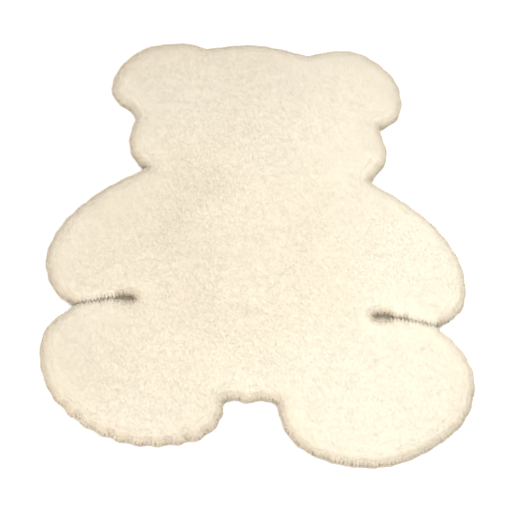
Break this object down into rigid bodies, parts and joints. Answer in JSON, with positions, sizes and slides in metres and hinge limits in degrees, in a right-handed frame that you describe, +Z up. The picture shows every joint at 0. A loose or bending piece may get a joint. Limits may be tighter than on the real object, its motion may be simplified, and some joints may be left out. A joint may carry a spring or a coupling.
{
  "type": "bear-shaped rug",
  "caption": "Plain cream shag rug cut to a sitting teddy bear's outline, with round ears, arms and legs, a flat underside and locks of pile over its rim; lies flat as a soft nursery floor mat.",
  "frame": {"origin": "on the floor, under the middle of the rug's bounding box", "axes": "+Z up from the floor through the pile, +Y from the feet towards the head, +X towards the right-hand side of the rug seen from above with the head away from the viewer"},
  "size_m": [0.9118, 1.0208, 0.0321],
  "materials": {
    "pile": "soft cream plush pile, matt with a faint sheen at the fibre tips"
  },
  "bodies": {
    "root": {"bear_rug": "pile"}
  },
  "joints": []
}
